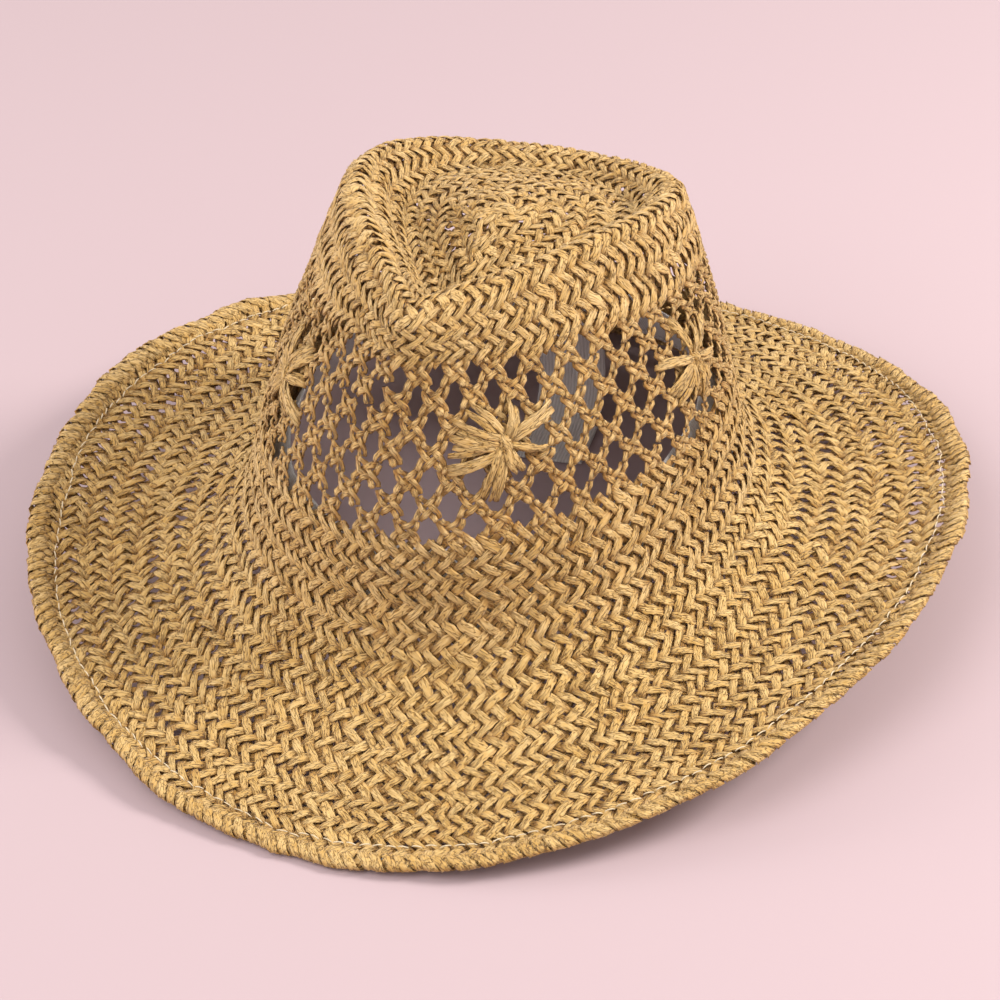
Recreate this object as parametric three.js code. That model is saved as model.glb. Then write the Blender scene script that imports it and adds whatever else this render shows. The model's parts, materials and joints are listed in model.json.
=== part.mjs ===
// A woven straw cowboy hat with a teardrop crown, an openwork band and a wired, hemmed brim.
// Millimetres, +Z up. The origin is on the surface that the hat rests on, under its middle.
// The front of the hat looks along -Y, and the wearer's left is at +X.
import * as THREE from 'three';
import { mergeVertices } from 'three/addons/utils/BufferGeometryUtils.js';

// Crown foot: the oval where the crown turns out into the brim.
const FOOT_HALF_WIDTH = 86;
const FOOT_HALF_LENGTH = 100;
const FOOT_HEIGHT = 30;

// Brim: its reach in plan beyond the foot, and the height of its edge at the ends and the sides.
const REACH_FRONT = 76;
const REACH_SIDE = 81;
const EDGE_HEIGHT_FRONT = 1.9;
const EDGE_HEIGHT_SIDE = 34;
const BRIM_SWEEP = 1.5;
const SIDE_CURL = 9;

// Flare: the soft bend from the brim up into the crown wall.
const FLARE_REACH = 24;
const FLARE_RISE = 26;

// Rim: the teardrop fold round the top of the crown, with its point at the front.
const RIM_HALF_WIDTH = 56;
const RIM_HALF_LENGTH = 69;
const RIM_CENTRE_Y = 10;
const RIM_POINT = 1.1;
const RIM_HEIGHT = 142;
const RIM_FRONT_LIFT = 8;
const RIM_SIDE_LIFT = 6;
const WALL_TAPER = 1.7;

// Fold and dent of the crown tip.
const FOLD_DROP = 9;
const FOLD_WIDTH = 10;
const DENT_CENTRE_Y = 14;
const DENT_DEPTH_FRONT = 22;
const DENT_DEPTH_BACK = 12;
const DENT_CENTRE_DROP = 7;
const POCKET_FRONT = 0.62;
const POCKET_BACK = 0.8;

// Openwork band: its lower and upper edges above the foot, and its rows of windows.
const OPENWORK_BOTTOM = 42;
const OPENWORK_TOP = 88;
const OPENWORK_FRONT_LIFT = 8;
const WINDOW_ROWS = 7;
const WINDOWS_PER_ROW = 35;
const WINDOW_HALF_WIDTH = 2.7;
const WINDOW_HALF_HEIGHT = 4.1;
const OPENWORK_MARGIN = 1.6;

// Star motifs tied over the openwork.
const MOTIF_ANGLES = [35, 90, 160, 232, 308];
const MOTIF_COUNT = MOTIF_ANGLES.length;
const MOTIF_RADIUS = 16;
const MOTIF_CORE = 5.5;
const MOTIF_PETALS = 8;
const MOTIF_THICKNESS = 1.4;

// Woven sheet, hem, wire, trims.
const WEAVE_THICKNESS = 2.4;
const HEM_WIDTH = 11;
const HEM_THICKNESS = 1.2;
const HEM_REST = 6;
const HEM_PRESS = 0.5;
const HEM_NOSE = 1;
const HEM_FOLD = 1.4;
const BRIM_INSET = 5.2;
const WIRE_DIAMETER = 1.4;
const WIRE_INSET = 3.2;
const FERRULE_LENGTH = 10;
const FERRULE_WALL = 0.25;
const FERRULE_CLEARANCE = 0.3;
const FERRULE_PLAY = 0.25;
const THREAD_THICKNESS = 0.6;
const THREAD_WIDTH = 0.9;
const HEM_SEAM_INSET = 8.5;
const SWEATBAND_WIDTH = 30;
const SWEATBAND_THICKNESS = 1.2;
const SWEATBAND_SEAM = 3;
const SWEATBAND_CLEARANCE = 1.3;
const LABEL_WIDTH = 26;
const LABEL_LENGTH = 72;
const LABEL_THICKNESS = 0.7;
const LABEL_BEND = 20;
const LABEL_TUCK = 5;
const LABEL_AT = 186;

const GAP = 0.3;
const SEGMENTS = 48;
const FULL_TURN = 2 * Math.PI;
const { degToRad, lerp, smoothstep } = THREE.MathUtils;

const HALF_WEAVE = WEAVE_THICKNESS / 2;
const FERRULE_RADIUS = WIRE_DIAMETER / 2 + FERRULE_CLEARANCE + FERRULE_WALL;
const HEM_INSIDE = Math.max(HALF_WEAVE + GAP, FERRULE_RADIUS + FERRULE_PLAY);
const HEM_OUTSIDE = HEM_INSIDE + HEM_THICKNESS;

// ---- The hat's middle surface -------------------------------------------------------------
// An angle of 0 is the front and a quarter turn is the +X side. A station runs from the brim's
// edge to the middle of the dent: 0 edge, 1 flare starts, 2 flare ends, 3 and 4 the openwork's
// edges, 5 fold starts, 6 fold ends, 7 middle of the dent.

function foot(angle) {
  return new THREE.Vector3(
    FOOT_HALF_WIDTH * Math.sin(angle), -FOOT_HALF_LENGTH * Math.cos(angle), FOOT_HEIGHT);
}

function footNormal(angle) {
  return new THREE.Vector3(
    Math.sin(angle) / FOOT_HALF_WIDTH, -Math.cos(angle) / FOOT_HALF_LENGTH, 0).normalize();
}

function reach(angle) {
  return lerp(REACH_FRONT, REACH_SIDE, Math.sin(angle) ** 2);
}

function brimPoint(out, angle) {
  const dipped = lerp(EDGE_HEIGHT_FRONT, FOOT_HEIGHT, Math.max(1 - out, 0) ** BRIM_SWEEP);
  const curled = lerp(FOOT_HEIGHT, EDGE_HEIGHT_SIDE, out) - SIDE_CURL * 4 * out * (1 - out);
  const point = foot(angle).addScaledVector(footNormal(angle), out * reach(angle));
  point.z = lerp(dipped, curled, Math.sin(angle) ** 2);
  return point;
}

const WIDEST = Math.acos(-RIM_POINT / (2 + RIM_POINT));
const WIDEST_SHAPE = Math.sin(WIDEST) * Math.sin(WIDEST / 2) ** RIM_POINT;

function rimHeight(angle) {
  return RIM_HEIGHT + RIM_FRONT_LIFT * Math.cos(angle) - RIM_SIDE_LIFT * Math.cos(2 * angle);
}

function rim(angle) {
  const shape = Math.sin(angle) * Math.abs(Math.sin(angle / 2)) ** RIM_POINT;
  return new THREE.Vector3(
    RIM_HALF_WIDTH * shape / WIDEST_SHAPE,
    RIM_CENTRE_Y - RIM_HALF_LENGTH * Math.cos(angle),
    rimHeight(angle));
}

function wallPoint(rise, angle) {
  const low = foot(angle);
  const high = rim(angle);
  const up = rise / (high.z - low.z);
  const point = low.clone().lerp(high, up ** WALL_TAPER);
  point.z = low.z + rise;
  return point;
}

function tipPoint(out, angle) {
  const edge = rim(angle);
  const back = Math.sin(angle / 2) ** 4;
  const depth = lerp(DENT_DEPTH_FRONT, DENT_DEPTH_BACK, back);
  const pocket = lerp(POCKET_FRONT, POCKET_BACK, back);
  const slope = 1 - smoothstep(out, pocket, 1);
  const dome = 1 - smoothstep(out, 0, pocket);
  const tilt = (edge.z - RIM_HEIGHT) * out ** 2;
  return new THREE.Vector3(
    edge.x * out,
    lerp(DENT_CENTRE_Y, edge.y, out),
    RIM_HEIGHT + tilt - depth * slope + (depth - DENT_CENTRE_DROP) * dome);
}

function bend(from, corner, to, share) {
  const rest = 1 - share;
  return from.clone().multiplyScalar(rest * rest)
    .addScaledVector(corner, 2 * rest * share)
    .addScaledVector(to, share * share);
}

function hatPoint(station, angle) {
  const flareOut = FLARE_REACH / reach(angle);
  const crownRise = rimHeight(angle) - FOOT_HEIGHT;
  const edge = rim(angle);
  const foldIn = 1 - FOLD_WIDTH / Math.hypot(edge.x, edge.y - DENT_CENTRE_Y);
  const rises = [
    FLARE_RISE,
    OPENWORK_BOTTOM,
    OPENWORK_TOP + OPENWORK_FRONT_LIFT * Math.cos(angle),
    crownRise - FOLD_DROP,
  ];
  if (station <= 1) return brimPoint(lerp(1, flareOut, station), angle);
  if (station <= 2) {
    return bend(brimPoint(flareOut, angle), foot(angle), wallPoint(FLARE_RISE, angle), station - 1);
  }
  if (station <= 5) {
    const zone = Math.min(Math.floor(station), 4);
    return wallPoint(lerp(rises[zone - 2], rises[zone - 1], station - zone), angle);
  }
  if (station <= 6) {
    return bend(wallPoint(crownRise - FOLD_DROP, angle), edge, tipPoint(foldIn, angle), station - 5);
  }
  return tipPoint(foldIn * (7 - station), angle);
}

const STEP = 0.001;

function alongStation(station, angle) {
  const from = Math.max(station - STEP, 0);
  const to = Math.min(station + STEP, 7);
  return hatPoint(to, angle).sub(hatPoint(from, angle)).divideScalar(to - from);
}

function hatNormal(station, angle) {
  const near = Math.min(station, 7 - STEP);
  const across = hatPoint(near, angle + STEP).sub(hatPoint(near, angle - STEP));
  return across.cross(alongStation(near, angle)).normalize();
}

// A point at a height above the middle surface, moved along the surface by a number of mm.
function place(station, angle, height, along = 0) {
  const moved = station + along / alongStation(station, angle).length();
  return hatPoint(moved, angle).addScaledVector(hatNormal(moved, angle), height);
}

// A point of the brim's edge, by its distance in from the edge.
function placeAtEdge(inset, height, angle) {
  return place(0, angle, height, inset);
}

// ---- Solids ------------------------------------------------------------------------------

function finish(geometry) {
  geometry.deleteAttribute('normal');
  geometry.deleteAttribute('uv');
  const merged = mergeVertices(geometry, 1e-4);
  const index = merged.index.array;
  const kept = [];
  for (let i = 0; i < index.length; i += 3) {
    const [a, b, c] = index.slice(i, i + 3);
    if (a !== b && b !== c && c !== a) kept.push(a, b, c);
  }
  const corner = [new THREE.Vector3(), new THREE.Vector3(), new THREE.Vector3()];
  let volume = 0;
  for (let i = 0; i < kept.length; i += 3) {
    corner.forEach((point, k) => point.fromBufferAttribute(merged.attributes.position, kept[i + k]));
    volume += corner[0].dot(corner[1].cross(corner[2]));
  }
  merged.setIndex(volume < 0 ? kept.reverse() : kept);
  merged.computeVertexNormals();
  return merged;
}

function mapPoints(geometry, move) {
  const position = geometry.attributes.position;
  const point = new THREE.Vector3();
  for (let i = 0; i < position.count; i += 1) {
    point.fromBufferAttribute(position, i);
    const to = move(point);
    position.setXYZ(i, to.x, to.y, to.z);
  }
  return finish(geometry);
}

// A ring round the hat: the closed profile is turned on a lathe, then each vertex is placed.
const LATHE_RADIUS = 100;

function ring(profile, placeCorner) {
  const outline = [...profile, profile[0]];
  const points = outline.map(([across, height]) => new THREE.Vector2(LATHE_RADIUS + across, height));
  const lathe = new THREE.LatheGeometry(points, SEGMENTS);
  return mapPoints(lathe, (point) => {
    const across = Math.hypot(point.x, point.z) - LATHE_RADIUS;
    return placeCorner(across, point.y, Math.atan2(point.x, point.z));
  });
}

// A sheet between two stations: its first and last rows keep half a gap to their neighbours.
function sheetRing(stations, low, high) {
  const rows = stations.length;
  const profile = [];
  for (let row = 0; row < rows; row += 1) profile.push([row, high]);
  for (let row = rows - 1; row >= 0; row -= 1) profile.push([row, low]);
  return ring(profile, (across, height, angle) => {
    const row = Math.round(across);
    let along = 0;
    if (row === 0) along = GAP / 2;
    if (row === rows - 1) along = -GAP / 2;
    return place(stations[row], angle, height, along);
  });
}

function steps(from, to, count) {
  return Array.from({ length: count + 1 }, (_, i) => lerp(from, to, i / count));
}

function brim() {
  const stations = [0, ...steps(0.2, 1, 4), 1.25, 1.5];
  const last = stations.length - 1;
  const rows = stations.map((station, row) => [row, HALF_WEAVE]);
  const under = stations.map((station, row) => [row, -HALF_WEAVE]).reverse();
  return ring([...rows, ...under], (across, height, angle) => {
    const row = Math.round(across);
    let along = 0;
    if (row === 0) along = BRIM_INSET;
    if (row === last) along = -GAP / 2;
    return onSurface(place(stations[row], angle, height, along));
  });
}

// The straw lies flat on the surface where it comes this close to it, and never reaches below.
function onSurface(point, press = 0) {
  point.z = point.z < press ? 0 : point.z;
  return point;
}

function brimHem() {
  const inside = HEM_INSIDE;
  const profile = [
    [HEM_WIDTH, HEM_OUTSIDE], [HEM_NOSE, HEM_OUTSIDE], [0, 0], [HEM_NOSE, -HEM_OUTSIDE],
    [HEM_REST, -HEM_OUTSIDE], [HEM_WIDTH, -HEM_OUTSIDE], [HEM_WIDTH, -inside], [HEM_FOLD, -inside],
    [HEM_FOLD, inside], [HEM_WIDTH, inside],
  ];
  return ring(profile, (inset, height, angle) =>
    onSurface(placeAtEdge(inset, height, angle), height < -inside ? HEM_PRESS : 0));
}

class BrimEdgePath extends THREE.Curve {
  getPoint(share, target = new THREE.Vector3()) {
    const angle = Math.PI + WIRE_END_ANGLE + share * (FULL_TURN - 2 * WIRE_END_ANGLE);
    return target.copy(placeAtEdge(WIRE_INSET, 0, angle));
  }
}

const BACK_EDGE_RADIUS = FOOT_HALF_LENGTH + REACH_FRONT - WIRE_INSET;
const WIRE_END_ANGLE = GAP / BACK_EDGE_RADIUS;

function polygon(radius, sides) {
  const shape = new THREE.Shape();
  for (let i = 0; i < sides; i += 1) {
    const turn = FULL_TURN * i / sides;
    const method = i === 0 ? 'moveTo' : 'lineTo';
    shape[method](radius * Math.cos(turn), radius * Math.sin(turn));
  }
  return shape;
}

function brimWire() {
  const section = polygon(WIRE_DIAMETER / 2, 6);
  return finish(new THREE.ExtrudeGeometry(section, { steps: 60, extrudePath: new BrimEdgePath() }));
}

function wireFerrule() {
  const outer = FERRULE_RADIUS;
  const inner = outer - FERRULE_WALL;
  const half = FERRULE_LENGTH / 2;
  const corners = [[inner, -half], [outer, -half], [outer, half], [inner, half], [inner, -half]];
  const lathe = new THREE.LatheGeometry(corners.map(([x, y]) => new THREE.Vector2(x, y)), 12);
  lathe.rotateZ(Math.PI / 2);
  const centre = placeAtEdge(WIRE_INSET, 0, Math.PI);
  lathe.translate(centre.x, centre.y, centre.z);
  return finish(lathe);
}

function hemStitching() {
  const low = HEM_OUTSIDE + GAP;
  const near = HEM_SEAM_INSET;
  const profile = [
    [near, low], [near + THREAD_WIDTH, low],
    [near + THREAD_WIDTH, low + THREAD_THICKNESS], [near, low + THREAD_THICKNESS],
  ];
  return ring(profile, (inset, height, angle) => placeAtEdge(inset, height, angle));
}

const BAND_STATION = 1.62;

function placeOnBand(up, depth, angle) {
  return place(BAND_STATION, angle, -HALF_WEAVE - SWEATBAND_CLEARANCE - depth, up);
}

function sweatband() {
  const rows = [0, 1, 2, 3].map((row) => row * SWEATBAND_WIDTH / 3);
  const outside = rows.map((up) => [up, 0]);
  const inside = rows.map((up) => [up, SWEATBAND_THICKNESS]).reverse();
  return ring([...outside, ...inside], placeOnBand);
}

function sweatbandStitching() {
  const low = SWEATBAND_THICKNESS + GAP;
  const profile = [
    [SWEATBAND_SEAM, low], [SWEATBAND_SEAM + THREAD_WIDTH, low],
    [SWEATBAND_SEAM + THREAD_WIDTH, low + THREAD_THICKNESS],
    [SWEATBAND_SEAM, low + THREAD_THICKNESS],
  ];
  return ring(profile, placeOnBand);
}

// The openwork is drawn as a flat ring with its windows as holes, then bent onto the crown.
const FLAT_INNER = 100;
const FLAT_WIDTH = 50;

function flatPoint(angle, up) {
  const radius = FLAT_INNER + up * FLAT_WIDTH;
  return new THREE.Vector2(radius * Math.sin(angle), -radius * Math.cos(angle));
}

function flatLoop(up) {
  return Array.from({ length: SEGMENTS }, (_, i) => flatPoint(FULL_TURN * i / SEGMENTS, up));
}

function motifAngle(motif) {
  return degToRad(MOTIF_ANGLES[motif]);
}

function openworkSize(angle, up) {
  const station = 3 + up;
  const across = hatPoint(station, angle + STEP).distanceTo(hatPoint(station, angle - STEP));
  return { perTurn: across / (2 * STEP), height: alongStation(station, angle).length() };
}

function underMotif(angle, up) {
  const { perTurn, height } = openworkSize(angle, up);
  for (let motif = 0; motif < MOTIF_COUNT; motif += 1) {
    const turn = (angle - motifAngle(motif)) / FULL_TURN;
    const aside = (turn - Math.round(turn)) * FULL_TURN * perTurn;
    if (Math.hypot(aside, (up - 0.5) * height) < MOTIF_CORE) return true;
  }
  return false;
}

function openworkBand() {
  const shape = new THREE.Shape(flatLoop(1));
  shape.holes.push(new THREE.Path(flatLoop(0)));
  for (let row = 0; row < WINDOW_ROWS; row += 1) {
    for (let i = 0; i < WINDOWS_PER_ROW; i += 1) {
      const angle = FULL_TURN * (i + 0.5 * (row % 2)) / WINDOWS_PER_ROW;
      const height = openworkSize(angle, 0.5).height;
      const margin = (OPENWORK_MARGIN + WINDOW_HALF_HEIGHT) / height;
      const up = lerp(margin, 1 - margin, row / (WINDOW_ROWS - 1));
      if (underMotif(angle, up)) continue;
      const wide = WINDOW_HALF_WIDTH / openworkSize(angle, up).perTurn;
      const tall = WINDOW_HALF_HEIGHT / height;
      shape.holes.push(new THREE.Path([
        flatPoint(angle, up - tall), flatPoint(angle + wide, up),
        flatPoint(angle, up + tall), flatPoint(angle - wide, up),
      ]));
    }
  }
  const flat = new THREE.ExtrudeGeometry(shape, { depth: WEAVE_THICKNESS, bevelEnabled: false });
  return mapPoints(flat, (point) => {
    const angle = Math.atan2(point.x, -point.y);
    const up = (Math.hypot(point.x, point.y) - FLAT_INNER) / FLAT_WIDTH;
    let along = 0;
    if (up < 0.005) along = GAP / 2;
    if (up > 0.98) along = -GAP / 2;
    return place(3 + THREE.MathUtils.clamp(up, 0, 1), angle, point.z - HALF_WEAVE, along);
  });
}

function starMotif(motif) {
  const centre = motifAngle(motif);
  const shape = new THREE.Shape();
  for (let i = 0; i < 2 * MOTIF_PETALS; i += 1) {
    const radius = i % 2 === 0 ? MOTIF_RADIUS : MOTIF_CORE;
    const turn = Math.PI * i / MOTIF_PETALS;
    const method = i === 0 ? 'moveTo' : 'lineTo';
    shape[method](radius * Math.cos(turn), radius * Math.sin(turn));
  }
  const flat = new THREE.ExtrudeGeometry(shape, { depth: MOTIF_THICKNESS, bevelEnabled: false });
  const { perTurn, height } = openworkSize(centre, 0.5);
  const clear = HALF_WEAVE + 3 * GAP;
  return mapPoints(flat, (point) =>
    place(3.5 + point.y / height, centre + point.x / perTurn, clear + point.z));
}

function crownTip() {
  const stations = [5, 5.33, 5.67, 6, 6.16, 6.36, 6.6, 6.8];
  const top = stations.map((station, row) => new THREE.Vector2(stations.length - row, HALF_WEAVE));
  const under = top.map(({ x }) => new THREE.Vector2(x, -HALF_WEAVE)).reverse();
  const points = [
    new THREE.Vector2(0, HALF_WEAVE), ...[...top].reverse(),
    ...[...under].reverse(), new THREE.Vector2(0, -HALF_WEAVE),
  ];
  const lathe = new THREE.LatheGeometry(points, SEGMENTS);
  return mapPoints(lathe, (point) => {
    const row = Math.round(stations.length - Math.hypot(point.x, point.z));
    const angle = Math.atan2(point.x, point.z);
    if (row >= stations.length) return hatPoint(7, 0).setZ(hatPoint(7, 0).z + point.y);
    return place(stations[row], angle, point.y, row === 0 ? GAP / 2 : 0);
  });
}

// The foot's radius of curvature at the back: the flat label stands off its hollow.
const BACK_RADIUS = FOOT_HALF_WIDTH ** 2 / FOOT_HALF_LENGTH;

// The label hangs from the back of the sweatband, bends forward and lies on the surface.
function careLabel() {
  const hollow = LABEL_WIDTH ** 2 / (8 * BACK_RADIUS);
  const depth = SWEATBAND_THICKNESS + GAP + THREAD_THICKNESS + GAP + hollow;
  const angle = degToRad(LABEL_AT);
  const sewn = placeOnBand(SWEATBAND_SEAM + LABEL_TUCK, depth, angle);
  const top = sewn.z;
  const hang = top - GAP - LABEL_BEND;
  const run = LABEL_LENGTH - hang - LABEL_BEND * Math.PI / 2;
  const inner = LABEL_BEND - LABEL_THICKNESS;
  const side = new THREE.Shape();
  side.moveTo(0, top - GAP);
  side.lineTo(0, LABEL_BEND);
  side.absarc(LABEL_BEND, LABEL_BEND, LABEL_BEND, Math.PI, 1.5 * Math.PI, false);
  side.lineTo(LABEL_BEND + run, 0);
  side.lineTo(LABEL_BEND + run, LABEL_THICKNESS);
  side.absarc(LABEL_BEND, LABEL_BEND, inner, 1.5 * Math.PI, Math.PI, true);
  side.lineTo(LABEL_THICKNESS, top - GAP);
  const strip = new THREE.ExtrudeGeometry(side, {
    depth: LABEL_WIDTH, bevelEnabled: false, curveSegments: 6,
  });
  strip.translate(0, 0, -LABEL_WIDTH / 2);
  const forward = new THREE.Vector3(0, -1, 0);
  const up = new THREE.Vector3(0, 0, 1);
  strip.applyMatrix4(new THREE.Matrix4().makeBasis(forward, up, forward.clone().cross(up)));
  strip.rotateZ(angle - Math.PI);
  strip.translate(sewn.x, sewn.y, GAP);
  return finish(strip);
}

const COLOURS = { straw: 0xba9662, thread: 0xd8c8a4, satin: 0xe6e2da, steel: 0x8d9096 };

function material(colour, roughness, metalness = 0) {
  return new THREE.MeshStandardMaterial({ color: colour, roughness, metalness });
}

const straw = material(COLOURS.straw, 0.75);
const thread = material(COLOURS.thread, 0.6);
const satin = material(COLOURS.satin, 0.5);
const steel = material(COLOURS.steel, 0.4, 0.9);

const group = new THREE.Group();

function addPart(name, geometry, finishMaterial) {
  const mesh = new THREE.Mesh(geometry, finishMaterial);
  mesh.name = name;
  group.add(mesh);
}

addPart('crown_tip', crownTip(), straw);
addPart('crown_upper_wall', sheetRing([4, 4.5, 5], -HALF_WEAVE, HALF_WEAVE), straw);
addPart('openwork_band', openworkBand(), straw);
for (let motif = 0; motif < MOTIF_COUNT; motif += 1) {
  addPart(`star_motif_${motif + 1}`, starMotif(motif), straw);
}
addPart('crown_lower_wall', sheetRing([1.5, 1.75, 2, 3], -HALF_WEAVE, HALF_WEAVE), straw);
addPart('brim', brim(), straw);
addPart('brim_hem', brimHem(), straw);
addPart('brim_wire', brimWire(), steel);
addPart('wire_ferrule', wireFerrule(), steel);
addPart('hem_stitching', hemStitching(), thread);
addPart('sweatband', sweatband(), satin);
addPart('sweatband_stitching', sweatbandStitching(), thread);
addPart('care_label', careLabel(), satin);

export default group;
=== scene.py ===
# %% [markdown]
# # A cowboy hat plaited from paper straw
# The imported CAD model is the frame: it gives the hat's true size and the body that every piece
# rides on. This script turns its plain sheets into the real plait, strand by strand.

# %% Load the frame
import json
import math
import bpy
import numpy as np
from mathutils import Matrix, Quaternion, Vector

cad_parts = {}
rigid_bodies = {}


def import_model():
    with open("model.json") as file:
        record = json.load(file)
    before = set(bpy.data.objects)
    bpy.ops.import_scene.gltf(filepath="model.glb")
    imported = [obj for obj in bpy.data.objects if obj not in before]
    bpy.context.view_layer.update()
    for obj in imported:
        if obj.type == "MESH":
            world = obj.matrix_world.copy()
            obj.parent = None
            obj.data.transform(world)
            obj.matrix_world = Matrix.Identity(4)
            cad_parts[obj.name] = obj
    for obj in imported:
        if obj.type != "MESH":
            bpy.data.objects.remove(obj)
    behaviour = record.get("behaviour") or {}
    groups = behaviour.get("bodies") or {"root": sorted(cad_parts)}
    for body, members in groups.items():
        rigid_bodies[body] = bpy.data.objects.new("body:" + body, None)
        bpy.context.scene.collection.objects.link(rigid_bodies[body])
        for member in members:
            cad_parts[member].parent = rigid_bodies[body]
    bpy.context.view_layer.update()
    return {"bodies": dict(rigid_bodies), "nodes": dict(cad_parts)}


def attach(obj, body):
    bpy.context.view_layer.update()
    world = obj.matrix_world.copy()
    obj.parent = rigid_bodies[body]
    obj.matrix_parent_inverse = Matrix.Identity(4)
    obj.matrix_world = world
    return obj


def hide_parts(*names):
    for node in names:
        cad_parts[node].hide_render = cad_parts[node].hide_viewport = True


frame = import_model()
BODY = next(iter(frame["bodies"]))
MM = 0.001

# %% [markdown]
# ## The middle surface of the hat
# Every strand lies on one smooth surface, so that surface comes first. It could be sculpted, but a
# few driving sizes and formulas keep it in step with the CAD model. Angle 0 is the front of the
# hat. A station runs from the brim's edge (0) through the flare (1 to 2), the openwork (3 to 4)
# and the fold of the rim (5 to 6) to the middle of the dent (7). Sizes here are in millimetres.

# %% Driving sizes of the hat
FOOT_HALF_WIDTH, FOOT_HALF_LENGTH, FOOT_HEIGHT = 86, 100, 30
REACH_FRONT, REACH_SIDE = 76, 81
EDGE_HEIGHT_FRONT, EDGE_HEIGHT_SIDE = 1.9, 34
BRIM_SWEEP, SIDE_CURL = 1.5, 9
FLARE_REACH, FLARE_RISE = 24, 26
RIM_HALF_WIDTH, RIM_HALF_LENGTH, RIM_CENTRE_Y = 56, 69, 10
RIM_HEIGHT, RIM_FRONT_LIFT, RIM_SIDE_LIFT, RIM_POINT = 142, 8, 6, 1.1
WALL_TAPER = 1.7
FOLD_DROP, FOLD_WIDTH = 9, 10
DENT_CENTRE_Y, DENT_CENTRE_DROP = 14, 7
DENT_DEPTH_FRONT, DENT_DEPTH_BACK = 22, 12
POCKET_FRONT, POCKET_BACK = 0.62, 0.8
OPENWORK_BOTTOM, OPENWORK_TOP, OPENWORK_FRONT_LIFT = 42, 88, 8
CENTRE = 7


# %% The surface as a formula
def lerp(low, high, share):
    return low + (high - low) * share


def smoothstep(value, low, high):
    share = np.clip((value - low) / (high - low), 0, 1)
    return share * share * (3 - 2 * share)


def points(x, y, z):
    return np.stack(np.broadcast_arrays(x, y, z), axis=-1)


def foot(angle):
    return points(FOOT_HALF_WIDTH * np.sin(angle), -FOOT_HALF_LENGTH * np.cos(angle), FOOT_HEIGHT)


def reach(angle):
    return lerp(REACH_FRONT, REACH_SIDE, np.sin(angle) ** 2)


def brim_point(out, angle):
    dipped = lerp(EDGE_HEIGHT_FRONT, FOOT_HEIGHT, np.maximum(1 - out, 0) ** BRIM_SWEEP)
    curled = lerp(FOOT_HEIGHT, EDGE_HEIGHT_SIDE, out) - SIDE_CURL * 4 * out * (1 - out)
    normal = points(np.sin(angle) / FOOT_HALF_WIDTH, -np.cos(angle) / FOOT_HALF_LENGTH, 0)
    normal = normal / np.linalg.norm(normal, axis=-1, keepdims=True)
    place = foot(angle) + normal * (out * reach(angle))[..., None]
    place[..., 2] = lerp(dipped, curled, np.sin(angle) ** 2)
    return place


def rim_height(angle):
    return RIM_HEIGHT + RIM_FRONT_LIFT * np.cos(angle) - RIM_SIDE_LIFT * np.cos(2 * angle)


def teardrop(angle):
    return np.sin(angle) * np.abs(np.sin(angle / 2)) ** RIM_POINT


def rim(angle):
    widest = teardrop(math.acos(-RIM_POINT / (2 + RIM_POINT)))
    return points(RIM_HALF_WIDTH * teardrop(angle) / widest,
                  RIM_CENTRE_Y - RIM_HALF_LENGTH * np.cos(angle), rim_height(angle))


def wall_point(rise, angle):
    low, high = foot(angle), rim(angle)
    up = np.maximum(rise, 0) / (rim_height(angle) - FOOT_HEIGHT)
    place = lerp(low, high, (up ** WALL_TAPER)[..., None])
    place[..., 2] = FOOT_HEIGHT + rise
    return place


def tip_point(out, angle):
    edge = rim(angle)
    back = np.sin(angle / 2) ** 4
    depth = lerp(DENT_DEPTH_FRONT, DENT_DEPTH_BACK, back)
    pocket = lerp(POCKET_FRONT, POCKET_BACK, back)
    slope = 1 - smoothstep(out, pocket, 1)
    dome = 1 - smoothstep(out, 0, pocket)
    tilt = (edge[..., 2] - RIM_HEIGHT) * out ** 2
    return points(edge[..., 0] * out, lerp(DENT_CENTRE_Y, edge[..., 1], out),
                  RIM_HEIGHT + tilt - depth * slope + (depth - DENT_CENTRE_DROP) * dome)


def bend(start, corner, end, share):
    share = share[..., None]
    return (1 - share) ** 2 * start + 2 * share * (1 - share) * corner + share ** 2 * end


def hat_point(station, angle):
    station, angle = np.broadcast_arrays(np.asarray(station, float), np.asarray(angle, float))
    flare_out = FLARE_REACH / reach(angle)
    edge = rim(angle)
    fold_rise = rim_height(angle) - FOOT_HEIGHT - FOLD_DROP
    fold_in = 1 - FOLD_WIDTH / np.hypot(edge[..., 0], edge[..., 1] - DENT_CENTRE_Y)
    openwork_top = OPENWORK_TOP + OPENWORK_FRONT_LIFT * np.cos(angle)
    rise = np.select([station < 3, station < 4],
                     [lerp(FLARE_RISE, OPENWORK_BOTTOM, station - 2),
                      lerp(OPENWORK_BOTTOM, openwork_top, station - 3)],
                     lerp(openwork_top, fold_rise, station - 4))
    zones = [
        brim_point(lerp(1, flare_out, station), angle),
        bend(brim_point(flare_out, angle), foot(angle), wall_point(FLARE_RISE, angle),
             station - 1),
        wall_point(rise, angle),
        bend(wall_point(fold_rise, angle), edge, tip_point(fold_in, angle), station - 5),
    ]
    within = [(station <= limit)[..., None] for limit in (1, 2, 5, 6)]
    return np.select(within, zones, tip_point(fold_in * (CENTRE - station), angle))


# %% [markdown]
# ## A guide to lay strands on
# Strands are made flat, as they lie on a plaiter's bench, and then laid on the hat. The guide is
# the bench and the hat at once: a grid whose UV map holds the distance round each row and the
# distance up the plait. Each row remembers its own length, so a strand keeps its true width.

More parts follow.
